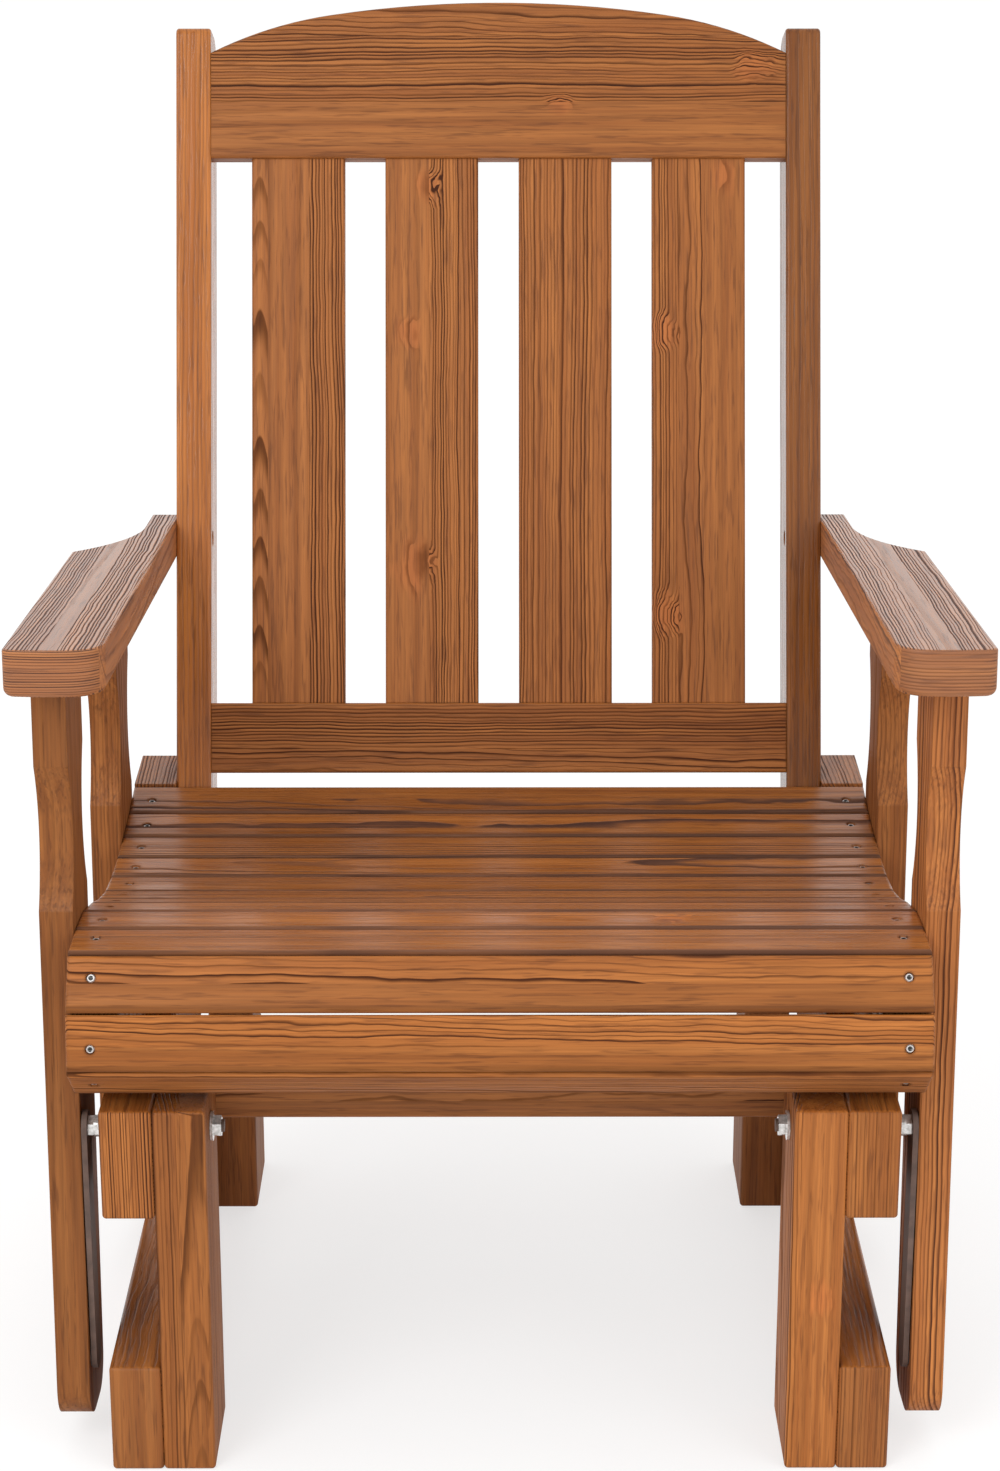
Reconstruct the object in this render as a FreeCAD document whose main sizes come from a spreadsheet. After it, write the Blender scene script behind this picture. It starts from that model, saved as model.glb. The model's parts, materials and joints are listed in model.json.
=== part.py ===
import FreeCAD, Part
import math
import os
from types import SimpleNamespace

import Sketcher
from FreeCAD import Placement, Rotation, Vector

# A wooden glider chair. +Z is up, the sitter faces -Y, and the floor is at Z = 0.
# Lengths are in millimetres and angles in degrees.
# Sizes of the seat are given in the seat's own frame, which leans back by seat_tilt about the
# base's front top edge. Sizes of the back are given in the back's frame, which reclines further.

SIZES = {
    # Base frame of eased lumber
    "base_front": -327.559,
    "base_gap": 17.6,
    "base_height": 290.4,
    "rail_length": 516.0,
    "rail_height": 84.8,
    "rail_thickness": 38.1,
    "post_depth": 88.9,
    "post_thickness": 38.1,
    "stretcher_height": 46.3,
    "stretcher_depth": 38.1,
    "lumber_ease": 3.0,
    # Glide links
    "pivot_drop": 29.8,
    "pivot_inset": 19.7,
    "link_length": 184.8,
    "strap_width": 24.0,
    "strap_thickness": 4.0,
    "stud_diameter": 9.5,
    "stud_tail": 2.0,
    "collar_height": 4.5,
    "spacer_diameter": 16.0,
    "nut_width": 14.3,
    "nut_height": 6.0,
    "washer_diameter": 22.0,
    "washer_thickness": 2.0,
    "bush_diameter": 14.0,
    "bush_flange_diameter": 22.0,
    "rail_flange_thickness": 1.5,
    "leg_flange_thickness": 0.7,
    "nest_room": 2.0,
    "nest_cover": 0.7,
    # Seat slats and the supports under them
    "seat_tilt": 4.0,
    "seat_rear": 416.1,
    "roll_clearance": 9.7,
    "slat_length": 609.6,
    "slat_thickness": 19.0,
    "slat_pitch": 41.9,
    "roll_pitch": 44.5,
    "slat_gap": 1.2,
    "slat_rear_margin": 2.5,
    "slat_ease": 2.5,
    "support_thickness": 34.5,
    "support_clearance": 5.4,
    "support_tail": 74.5,
    "support_tail_lift": 1.4,
    "support_tail_rise": 8.6,
    "support_tail_corner": 4.0,
    # Legs
    "leg_thickness": 24.3,
    "leg_width": 80.0,
    "leg_front": 37.1,
    "leg_spacing": 286.0,
    "front_leg_toe": 51.0,
    "rear_leg_toe": 35.3,
    "leg_top": 309.1,
    "neck_top": 245.1,
    "neck_bottom": 138.1,
    "neck_depth": 15.0,
    "toe_radius": 30.0,
    "heel_radius": 25.0,
    # Arms
    "arm_thickness": 33.5,
    "arm_width": 69.0,
    "arm_length": 537.0,
    "arm_lap": 38.0,
    "arm_outer_corner": 9.0,
    "arm_inner_corner": 24.0,
    "arm_bow": 3.0,
    "arm_tail_width": 23.5,
    "arm_tail_length": 58.0,
    "scoop_run": 114.0,
    "arm_top_ease": 2.0,
    "arm_under_ease": 6.0,
    # Back
    "recline": 14.0,
    "back_gap": 11.0,
    "back_rise": 1.7,
    "back_post_thickness": 29.2,
    "back_post_depth": 57.0,
    "back_post_rise": 20.8,
    "back_post_front_corner": 6.0,
    "back_post_rear_corner": 28.0,
    "back_setback": 1.0,
    "crest_bottom": 523.5,
    "crest_side_height": 88.7,
    "crest_rise": 42.0,
    "crest_crown_radius": 960.0,
    "crest_crown_half": 140.0,
    "crest_thickness": 22.0,
    "lower_rail_bottom": 7.7,
    "lower_rail_height": 58.7,
    "back_slat_width": 78.0,
    "back_slat_thickness": 16.0,
    "back_ease": 2.5,
    "tenon_length": 10.0,
    "tenon_thickness": 8.0,
    "tenon_shoulder": 12.0,
    # Fasteners
    "slat_screw_inset": 17.2,
    "slat_screw_length": 30.0,
    "slat_screw_diameter": 4.2,
    "slat_screw_head": 6.2,
    "slat_screw_head_height": 2.2,
    "slat_screw_recess": 1.2,
    "slat_screw_drive": 2.6,
    "wood_screw_diameter": 6.0,
    "wood_screw_head": 12.0,
    "wood_screw_head_height": 3.5,
    "wood_screw_drive": 4.0,
    "wood_screw_bite": 24.0,
    "wood_screw_recess": 0.8,
    "head_room": 0.4,
    "frame_screw_margin": 22.0,
    "leg_screw_spread": 20.0,
    "leg_screw_rise": 18.0,
    "leg_screw_bite": 18.0,
    "arm_screw_bite": 17.0,
    "arm_screw_setback": 16.0,
    "rail_screw_margin": 16.0,
    "bolt_diameter": 8.0,
    "bolt_head": 18.0,
    "bolt_head_height": 4.0,
    "bolt_nut_width": 13.0,
    "bolt_nut_height": 6.5,
    "bolt_recess": 0.5,
    "bolt_margin": 20.0,
    "dowel_diameter": 12.0,
    "dowel_length": 44.0,
    "dowel_setback": 22.0,
    # Fits
    "running_gap": 0.3,
    "running_fit": 0.05,
    "hole_clearance": 0.05,
    "mortise_clearance": 0.15,
}

# How far each slat heads downwards, going forward from the rear slat to the tucked one under the front.
SLAT_HEADINGS = (15.0, 11.5, 7.5, 4.5, -1.0, -9.0, -13.0, -9.0, 0.5, 6.0, 58.0, 84.0, 143.0)
# How far the screws of a slat stand behind its middle, where they do not stand on it.
SLAT_SCREW_SHIFTS = {9: 4.5, 10: 4.0, 11: -3.3}
ROLL_SLATS = 3
BACK_SLATS = 4
SIDES = {"left": -1, "right": 1}

doc = FreeCAD.newDocument("GliderChair")
sheet = doc.addObject("Spreadsheet::Sheet", "Sizes")
for row, (alias, value) in enumerate(SIZES.items(), start=1):
    sheet.set("A%d" % row, alias)
    sheet.set("B%d" % row, str(value))
    sheet.setAlias("B%d" % row, alias)
doc.recompute()
size = SimpleNamespace(**{alias: float(sheet.get(alias)) for alias in SIZES})

nodes = {}

ALONG_X = Vector(1, 0, 0)
ALONG_Y = Vector(0, 1, 0)
ALONG_Z = Vector(0, 0, 1)

# Shared places, worked out from the sizes
screw_let_in = size.wood_screw_head_height + size.wood_screw_recess
seat_half = size.slat_length / 2
base_half = seat_half - size.base_gap
rail_inner = base_half - size.rail_thickness
post_inner = rail_inner - size.post_thickness
support_inner = seat_half - size.support_thickness
back_post_inner = support_inner - size.back_post_thickness
strap_outer = seat_half - size.leg_flange_thickness - size.running_gap
strap_inner = strap_outer - size.strap_thickness
tilt = math.radians(size.seat_tilt)
lean = math.radians(size.recline)
pivot_height = size.base_height - size.pivot_drop
leg_fronts = {"front": size.leg_front, "rear": size.leg_front + size.leg_spacing}
leg_toes = {"front": size.front_leg_toe, "rear": size.rear_leg_toe}
nest_depth = size.running_gap + size.washer_thickness + size.nut_height + size.stud_tail + size.nest_cover
nest_diameter = size.washer_diameter + 2 * size.nest_room

base_frame = Placement(Vector(0, size.base_front, 0), Rotation())
seat_place = Placement(Vector(0, 0, size.base_height), Rotation(ALONG_X, -size.seat_tilt))
seat_frame = base_frame * seat_place


def bound(feature, name, alias):
    feature.setExpression(name, "Sizes." + alias)


def level_in_seat(y, clearance):
    """Height in the seat's frame, at a distance from its front, of a level plane above the base."""
    return (clearance + y * math.sin(tilt)) / math.cos(tilt)


def support_bottom(y):
    """Height in the seat's frame of the supports' level underside."""
    return level_in_seat(y, size.support_clearance)


def lower_pivot(row):
    """The lower pivot of a link, in the seat's frame: behind the leg's front edge."""
    y = leg_fronts[row] + size.pivot_inset
    return Vector(0, y, level_in_seat(y, -size.pivot_drop - size.link_length))


pivot_rows = {row: seat_place.multVec(lower_pivot(row)).y for row in leg_fronts}


def slat_facets():
    """The slats' flat tops as a chain, from the rear to the tucked front slat, in the seat's frame.
    Its front end stands clear of the base. Returns the corners of the outer faces and those of the
    faces that bed on the supports."""
    outer = [(size.seat_rear, 0.0)]
    normals = []
    for number, heading in enumerate(SLAT_HEADINGS):
        turn = math.radians(heading)
        on_roll = number >= len(SLAT_HEADINGS) - ROLL_SLATS
        pitch = size.roll_pitch if on_roll else size.slat_pitch
        y, z = outer[-1]
        outer.append((y - pitch * math.cos(turn), z - pitch * math.sin(turn)))
        normals.append((-math.sin(turn), math.cos(turn)))
    front_y, front_z = outer[-1]
    lift = level_in_seat(front_y, size.roll_clearance) - front_z
    outer = [(y, z + lift) for y, z in outer]
    bed = []
    for number, (y, z) in enumerate(outer):
        before = normals[max(number - 1, 0)]
        after = normals[min(number, len(normals) - 1)]
        spread = 1 + before[0] * after[0] + before[1] * after[1]
        bed.append((y - size.slat_thickness * (before[0] + after[0]) / spread,
                    z - size.slat_thickness * (before[1] + after[1]) / spread))
    return outer, bed


outer_corners, bed_corners = slat_facets()
back_foot = size.seat_rear + size.back_gap
back_foot_height = outer_corners[0][1] + size.back_rise
back_place = Placement(Vector(0, back_foot, back_foot_height), Rotation(ALONG_X, -size.recline))
back_frame = seat_frame * back_place
# The back posts end level with the supports' underside at their rear edge.
heel_rise = back_foot_height - size.back_post_depth * math.sin(lean)
heel_reach = back_foot + size.back_post_depth * math.cos(lean)
back_post_drop = (heel_rise * math.cos(tilt) - heel_reach * math.sin(tilt)
                  - size.support_clearance) / math.cos(lean + tilt)


def new_sketch(body, role, offset=0.0):
    sketch = body.newObject("Sketcher::SketchObject", body.Name + "_sketch")
    plane = [feature for feature in body.Origin.OriginFeatures if feature.Role == role][0]
    sketch.AttachmentSupport = [(plane, "")]
    sketch.MapMode = "FlatFace"
    sketch.AttachmentOffset = Placement(Vector(0, 0, offset), Rotation())
    return sketch


def flat(point):
    return Vector(point[0], point[1], 0)


def draw(sketch, outline):
    """Closes an outline of points. A pair of points is an arc: one on its way, then its end."""
    last = outline[0]
    for step in outline[1:] + [outline[0]]:
        if isinstance(step[0], tuple):
            via, end = step
            sketch.addGeometry(Part.Arc(flat(last), flat(via), flat(end)), False)
        elif step != last:
            end = step
            sketch.addGeometry(Part.LineSegment(flat(last), flat(end)), False)
        last = end


def draw_rectangle(sketch, width, height):
    """A rectangle from the sketch's origin whose two sides are bound to the sheet."""
    across = getattr(size, width)
    up = getattr(size, height)
    draw(sketch, [(0, 0), (across, 0), (across, up), (0, up)])
    for line in range(4):
        sketch.addConstraint(Sketcher.Constraint("Coincident", line, 2, (line + 1) % 4, 1))
    for line, direction in enumerate(("Horizontal", "Vertical", "Horizontal", "Vertical")):
        sketch.addConstraint(Sketcher.Constraint(direction, line))
    sketch.addConstraint(Sketcher.Constraint("Coincident", 0, 1, -1, 1))
    for line, alias, kind in ((0, width, "DistanceX"), (1, height, "DistanceY")):
        index = sketch.addConstraint(Sketcher.Constraint(kind, line, 1, line, 2, getattr(size, alias)))
        sketch.renameConstraint(index, alias)
        bound(sketch, "Constraints." + alias, alias)


def pad(body, sketch, alias, backwards=False):
    feature = body.newObject("PartDesign::Pad", body.Name + "_pad")
    feature.Profile = sketch
    bound(feature, "Length", alias)
    feature.Reversed = backwards
    sketch.Visibility = False
    doc.recompute()
    return feature


def ease(body, feature, alias, wanted):
    """Rounds the edges of the feature that are wanted."""
    names = ["Edge%d" % number for number, edge in enumerate(feature.Shape.Edges, start=1) if wanted(edge)]
    fillet = body.newObject("PartDesign::Fillet", body.Name + "_ease")
    fillet.Base = (feature, names)
    bound(fillet, "Radius", alias)
    doc.recompute()
    return fillet


def runs_across(edge):
    """Picks the long edges of a piece that lies along X."""
    return edge.BoundBox.XLength > edge.BoundBox.YLength + size.back_post_depth


def runs_up(edge):
    """Picks the long edges of a piece that stands along Z."""
    return edge.BoundBox.ZLength > edge.BoundBox.XLength + size.back_slat_width


def edge_at(**place):
    """Picks the edges all of whose points have the given coordinates."""
    def wanted(edge):
        for axis, value in place.items():
            low = getattr(edge.BoundBox, axis + "Min")
            high = getattr(edge.BoundBox, axis + "Max")
            if max(abs(low - value), abs(high - value)) > 1e-4:
                return False
        return True
    return wanted


def every(edge):
    return True


def new_body(name):
    return doc.addObject("PartDesign::Body", name)


def aimed(point, direction):
    return Placement(point, Rotation(ALONG_Z, direction))


def keep(label, solid, frame, holes=()):
    """Names a node and puts it in its frame, after its round holes are cut.
    A hole is a start point, a direction, a diameter and a depth."""
    if holes:
        drills = []
        for point, direction, diameter, depth in holes:
            drill = doc.addObject("Part::Cylinder", label + "_drill")
            drill.Radius = diameter / 2 + size.hole_clearance
            drill.Height = depth
            drill.Placement = aimed(point, direction)
            drills.append(drill)
        tool = doc.addObject("Part::Compound", label + "_drills")
        tool.Links = drills
        cut = doc.addObject("Part::Cut", label + "_drilled")
        cut.Base = solid
        cut.Tool = tool
        doc.recompute()
        if cut.Shape.Volume >= solid.Shape.Volume:
            raise RuntimeError(label + ": its holes cut nothing")
        solid = cut
    solid.Label = label
    solid.Placement = frame * solid.Placement
    nodes[label] = solid


def keep_group(label, shapes, frame):
    feature = doc.addObject("Part::Feature", label)
    feature.Label = label
    feature.Shape = Part.makeCompound(shapes)
    feature.Placement = frame
    nodes[label] = feature


def turned(points):
    """A solid of revolution about Z, from (radius, height) points."""
    wire = Part.makePolygon([Vector(radius, 0, height) for radius, height in points + [points[0]]])
    return Part.Face(wire).revolve(Vector(), ALONG_Z, 360)


def bolt(diameter, length, head, head_height):
    """A bolt along +Z whose low domed head seats at Z = 0."""
    shank = diameter / 2
    rim = head / 2
    crown = 0.6 * rim
    shoulder = 0.9 * head_height
    skirt = 0.4 * head_height
    return turned([(0, -head_height), (crown, -shoulder), (rim, -skirt), (rim, 0),
                   (shank, 0), (shank, length), (0, length)])


def screw(diameter, length, head, head_height, drive):
    """A pointed screw along +Z whose head seats at Z = 0 and is driven by a square socket."""
    shank = diameter / 2
    rim = head / 2
    flat_top = 0.75 * rim
    skirt = 0.6 * head_height
    socket_depth = 0.6 * head_height
    blank = turned([(0, -head_height), (flat_top, -head_height), (rim, -skirt), (rim, 0),
                    (shank, 0), (shank, length - diameter), (0, length)])
    corner = Vector(-drive / 2, -drive / 2, -head_height)
    return blank.cut(Part.makeBox(drive, drive, socket_depth, corner))


def wood_screw(length):
    return screw(size.wood_screw_diameter, length, size.wood_screw_head, size.wood_screw_head_height,
                 size.wood_screw_drive)


def head_holes(screws, head, depth):
    """The wider holes above the seats of the heads that are let in."""
    return [(point, -direction, head + 2 * size.head_room, depth) for point, direction in screws]


def ring(outer, inner, height):
    return turned([(inner, 0), (outer, 0), (outer, height), (inner, height)])


def nut(width, bore, height):
    """A hexagonal nut along +Z from Z = 0, width across its flats."""
    corner = width / math.sqrt(3)
    turns = [math.radians(60 * step) for step in range(7)]
    corners = [Vector(corner * math.cos(turn), corner * math.sin(turn), 0) for turn in turns]
    prism = Part.Face(Part.makePolygon(corners)).extrude(Vector(0, 0, height))
    return prism.cut(Part.makeCylinder(bore, height))


def placed(shape, placement):
    copy = shape.copy()
    copy.Placement = placement
    return copy


def board(name, width, height, length):
    """Lumber with its section in YZ and its length along X, from the origin."""
    body = new_body(name)
    sketch = new_sketch(body, "YZ_Plane")
    draw_rectangle(sketch, width, height)
    return body, pad(body, sketch, length)


def side_piece(name, outline, thickness, inner, side):
    """A piece cut from a board by its side outline, with its inner face at a distance from the middle."""
    body = new_body(name)
    sketch = new_sketch(body, "YZ_Plane")
    draw(sketch, outline)
    feature = pad(body, sketch, thickness, side < 0)
    body.Placement = Placement(Vector(side * inner, 0, 0), Rotation())
    return body, feature


# Base frame

def stud_hole(row, side):
    """The hole for an upper bush through the rail and, in front, the post."""
    depth = size.rail_thickness + (size.post_thickness if row == "front" else 0)
    point = Vector(side * base_half, pivot_rows[row], pivot_height)
    return point, Vector(-side, 0, 0), size.bush_diameter, depth


frame_screw_length = size.rail_thickness - screw_let_in + size.wood_screw_bite
frame_screw_seat = base_half - screw_let_in


def post_screws(side, post_front, rail_bottom):
    """Two screws through a rail into a post, at opposite corners of their crossing."""
    near = size.frame_screw_margin
    corners = ((post_front + near, rail_bottom + near),
               (post_front + size.post_depth - near, rail_bottom + size.rail_height - near))
    return [(Vector(side * frame_screw_seat, y, z), Vector(-side, 0, 0)) for y, z in corners]


def stretcher_screw(side, stretcher_front):
    y = stretcher_front + size.stretcher_depth / 2
    z = size.base_height - size.stretcher_height / 2
    return Vector(side * frame_screw_seat, y, z), Vector(-side, 0, 0)


def screw_holes(screws, diameter, length):
    return [(point, direction, diameter, length) for point, direction in screws]


def make_base():
    upper = size.base_height - size.rail_height
    post_fronts = {"front": 0.0, "rear": size.rail_length - size.post_depth}
    stretcher_fronts = {"front": size.post_depth,
                        "rear": size.rail_length - size.post_depth - size.stretcher_depth}
    all_screws = []
    stretcher_holes = {"front": [], "rear": []}
    for name, side in SIDES.items():
        corner = base_half if side < 0 else -rail_inner
        rails = {"bottom_rail": 0.0, "upper_rail": upper}
        posts = {row: [] for row in post_fronts}
        for rail, bottom in rails.items():
            screws = []
            for row, front in post_fronts.items():
                pair = post_screws(side, front, bottom)
                posts[row] += pair
                screws += pair
            if rail == "upper_rail":
                for row, front in stretcher_fronts.items():
                    one = stretcher_screw(side, front)
                    stretcher_holes[row].append(one)
                    screws.append(one)
            all_screws += screws
            holes = screw_holes(screws, size.wood_screw_diameter, frame_screw_length)
            holes += head_holes(screws, size.wood_screw_head, size.rail_thickness)
            if rail == "upper_rail":
                holes += [stud_hole("front", side), stud_hole("rear", side)]
            body = new_body(rail + "_" + name + "_board")
            sketch = new_sketch(body, "YZ_Plane")
            draw_rectangle(sketch, "rail_length", "rail_height")
            feature = pad(body, sketch, "rail_thickness")
            ease(body, feature, "lumber_ease", every)
            body.Placement = Placement(Vector(-corner, 0, bottom), Rotation())
            keep(rail + "_" + name, body, base_frame, holes)
        for row, front in post_fronts.items():
            label = row + "_post_" + name
            body, feature = board(label + "_board", "post_depth", "base_height", "post_thickness")
            ease(body, feature, "lumber_ease", every)
            corner = rail_inner if side < 0 else -post_inner
            body.Placement = Placement(Vector(-corner, front, 0), Rotation())
            holes = screw_holes(posts[row], size.wood_screw_diameter, frame_screw_length)
            if row == "front":
                holes.append(stud_hole("front", side))
            keep(label, body, base_frame, holes)
    for row, front in stretcher_fronts.items():
        body = new_body(row + "_stretcher_board")
        sketch = new_sketch(body, "YZ_Plane")
        draw_rectangle(sketch, "stretcher_depth", "stretcher_height")
        feature = pad(body, sketch, "slat_length")
        feature.setExpression("Length", "Sizes.slat_length - 2 * (Sizes.base_gap + Sizes.rail_thickness)")
        doc.recompute()
        ease(body, feature, "lumber_ease", runs_across)
        underside = size.base_height - size.stretcher_height
        body.Placement = Placement(Vector(-rail_inner, front, underside), Rotation())
        holes = screw_holes(stretcher_holes[row], size.wood_screw_diameter, frame_screw_length)
        keep(row + "_stretcher", body, base_frame, holes)
    shape = wood_screw(frame_screw_length)
    keep_group("frame_screws", [placed(shape, aimed(*one)) for one in all_screws], base_frame)


def flanged_bush(length, flange_thickness):
    """A bush along +Z whose flange seats at Z = 0."""
    bore = size.stud_diameter / 2 + size.running_fit
    wall = size.bush_diameter / 2
    rim = size.bush_flange_diameter / 2
    return turned([(bore, -flange_thickness), (rim, -flange_thickness), (rim, 0), (wall, 0),
                   (wall, length), (bore, length)])


def make_upper_bushes():
    bushes = []
    for side in SIDES.values():
        for row in pivot_rows:
            point, inward, _, depth = stud_hole(row, side)
            bushes.append(placed(flanged_bush(depth, size.rail_flange_thickness), aimed(point, inward)))
    keep_group("upper_bushes", bushes, base_frame)


# Glide links

def stud_pad(body, height, depth, backwards):
    sketch = new_sketch(body, "YZ_Plane")
    sketch.addGeometry(Part.Circle(Vector(0, height, 0), ALONG_Z, size.stud_diameter / 2), False)
    index = sketch.addConstraint(Sketcher.Constraint("Diameter", 0, size.stud_diameter))
    sketch.renameConstraint(index, "stud_diameter")
    bound(sketch, "Constraints.stud_diameter", "stud_diameter")
    feature = body.newObject("PartDesign::Pad", body.Name + "_stud")
    feature.Profile = sketch
    feature.Length = depth
    feature.Reversed = backwards
    doc.recompute()


def make_link(row, name, side):
    """A strap that hangs from its upper stud, with a lower stud that carries the leg."""
    inward = Vector(-side, 0, 0)
    outward = Vector(side, 0, 0)
    lower = pivot_height - size.link_length
    half = size.strap_width / 2
    body = new_body(row + "_link_" + name + "_strap")
    sketch = new_sketch(body, "YZ_Plane")
    draw(sketch, [(half, 0), (half, size.link_length),
                  ((0, size.link_length + half), (-half, size.link_length)),
                  (-half, 0), ((0, -half), (half, 0))])
    pad(body, sketch, "strap_thickness", side < 0)
    carrier = post_inner if row == "front" else rail_inner
    nut_face = carrier - size.running_gap - size.washer_thickness
    upper_end = nut_face - size.nut_height - size.stud_tail
    nest = seat_half + size.leg_thickness - nest_depth
    lower_nut = nest + size.running_gap + size.washer_thickness
    lower_end = lower_nut + size.nut_height + size.stud_tail
    stud_pad(body, size.link_length, strap_inner - upper_end, side > 0)
    stud_pad(body, 0, lower_end - strap_inner, side < 0)
    y = pivot_rows[row]
    body.Placement = Placement(Vector(side * strap_inner, y, lower), Rotation())
    keep(row + "_link_" + name, body, base_frame)

    bore = size.stud_diameter / 2 + size.hole_clearance
    spacer_start = base_half + size.rail_flange_thickness + size.running_gap
    collar = strap_inner - size.collar_height
    washer = ring(size.washer_diameter / 2, bore, size.washer_thickness)
    lock_nut = nut(size.nut_width, bore, size.nut_height)

    def at(x, z, direction):
        return aimed(Vector(side * x, y, z), direction)

    pieces = [placed(nut(size.nut_width, bore, size.collar_height), at(collar, pivot_height, outward)),
              placed(ring(size.spacer_diameter / 2, bore, collar - spacer_start),
                     at(spacer_start, pivot_height, outward)),
              placed(washer, at(carrier - size.running_gap, pivot_height, inward)),
              placed(lock_nut, at(nut_face, pivot_height, inward)),
              placed(washer, at(nest + size.running_gap, lower, outward)),
              placed(lock_nut, at(lower_nut, lower, outward))]
    keep_group(row + "_link_nuts_" + name, pieces, base_frame)


# Seat slats and supports

def slat_place(number):
    """The frame of a slat: at the middle of its outer face, with +Z out of that face."""
    rear = outer_corners[number]
    front = outer_corners[number + 1]
    middle = Vector(0, (rear[0] + front[0]) / 2, (rear[1] + front[1]) / 2)
    return Placement(middle, Rotation(ALONG_X, SLAT_HEADINGS[number]))


def slat_screw_points(number):
    """Where the heads of a slat's two screws seat, and which way they go, in the seat's frame."""
    place = slat_place(number)
    down = place.Rotation.multVec(Vector(0, 0, -1))
    across = seat_half - size.slat_screw_inset
    depth = size.slat_screw_recess + size.slat_screw_head_height
    shift = SLAT_SCREW_SHIFTS.get(number, 0.0)
    return {side: (place.multVec(Vector(side * across, shift, -depth)), down) for side in SIDES.values()}


def make_slat(number):
    place = slat_place(number)
    back = place.inverse()
    half_gap = size.slat_gap / 2
    # The rear slat leans out at its top towards the back.
    rear_shift = -half_gap if number else size.slat_rear_margin

    def local(corner, shift):
        point = back.multVec(Vector(0, corner[0], corner[1]))
        return point.y + shift, point.z

    label = "seat_slat_%02d" % (number + 1)
    body = new_body(label + "_board")
    sketch = new_sketch(body, "YZ_Plane")
    draw(sketch, [local(outer_corners[number], rear_shift), local(outer_corners[number + 1], half_gap),
                  local(bed_corners[number + 1], half_gap), local(bed_corners[number], -half_gap)])
    feature = pad(body, sketch, "slat_length")
    ease(body, feature, "slat_ease", edge_at(Z=0))
    body.Placement = Placement(Vector(-seat_half, 0, 0), Rotation())
    screws = [(back.multVec(point), Vector(0, 0, -1)) for point, _ in slat_screw_points(number).values()]
    holes = screw_holes(screws, size.slat_screw_diameter, size.slat_thickness)
    holes += head_holes(screws, size.slat_screw_head, size.slat_thickness)
    keep(label, body, seat_frame * place, holes)


def leg_screw_points(row, side):
    """The two screws that hold a leg, from the support's inner face outwards, in the seat's frame."""
    middle = leg_fronts[row] + size.leg_width / 2
    rise = support_bottom(middle) + size.leg_screw_rise
    seat_x = side * (support_inner + screw_let_in)
    return [(Vector(seat_x, middle + shift, rise), Vector(side, 0, 0))
            for shift in (-size.leg_screw_spread, size.leg_screw_spread)]


def back_bolt_points(side):
    """The two bolts through a support's tail and a back post, from outside, in the seat's frame.
    Their heads are let into the support."""
    x = side * (seat_half - size.bolt_head_height - size.bolt_recess)
    return [(back_place.multVec(Vector(x, size.back_post_depth / 2, -drop)), Vector(-side, 0, 0))
            for drop in (size.bolt_margin, back_post_drop - size.bolt_margin)]


leg_screw_length = size.support_thickness - screw_let_in + size.leg_screw_bite
bolt_grip = size.support_thickness + size.back_post_thickness - size.bolt_head_height - size.bolt_recess
back_bolt_length = bolt_grip + size.washer_thickness + size.bolt_nut_height + size.stud_tail


def make_supports():
    tail_front = outer_corners[0][1] + size.support_tail_lift
    tail_top = tail_front + size.support_tail_rise
    tail_end = size.seat_rear + size.support_tail
    step = size.slat_gap
    toe = bed_corners[-1]
    heading = math.radians(SLAT_HEADINGS[-1])
    # The front underside carries on along the tucked slat down to the level underside.
    slope = math.tan(heading)
    toe_y = toe[0]
    for _ in range(20):
        toe_y = toe[0] + (support_bottom(toe_y) - toe[1]) / slope
    outline = list(bed_corners[::-1]) + [(bed_corners[0][0] + step, bed_corners[0][1]),
                                         (bed_corners[0][0] + step, tail_front),
                                         (tail_end, tail_top),
                                         (tail_end, support_bottom(tail_end)),
                                         (toe_y, support_bottom(toe_y))]
    for name, side in SIDES.items():
        body, feature = side_piece("seat_support_" + name + "_board", outline, "support_thickness",
                                   support_inner, side)
        ease(body, feature, "support_tail_corner", edge_at(Y=tail_end, Z=tail_top))
        holes = []
        for number in range(len(SLAT_HEADINGS)):
            point, down = slat_screw_points(number)[side]
            holes.append((point, down, size.slat_screw_diameter, size.slat_screw_length))
        for row in leg_fronts:
            screws = leg_screw_points(row, side)
            holes += screw_holes(screws, size.wood_screw_diameter, leg_screw_length)
            holes += head_holes(screws, size.wood_screw_head, size.support_thickness)
        bolts = back_bolt_points(side)
        holes += screw_holes(bolts, size.bolt_diameter, back_bolt_length)
        holes += head_holes(bolts, size.bolt_head, size.support_thickness)
        keep("seat_support_" + name, body, seat_frame, holes)


def make_slat_screws():
    shape = screw(size.slat_screw_diameter, size.slat_screw_length, size.slat_screw_head,
                  size.slat_screw_head_height, size.slat_screw_drive)
    screws = []
    for number in range(len(SLAT_HEADINGS)):
        screws += [placed(shape, aimed(*one)) for one in slat_screw_points(number).values()]
    keep_group("slat_screws", screws, seat_frame)


# Legs

def dowel_point(row, side):
    """The middle of the dowel between a leg and its arm, in the seat's frame."""
    x = side * (seat_half + size.leg_thickness / 2)
    return Vector(x, leg_fronts[row] + size.dowel_setback, size.leg_top)


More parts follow.
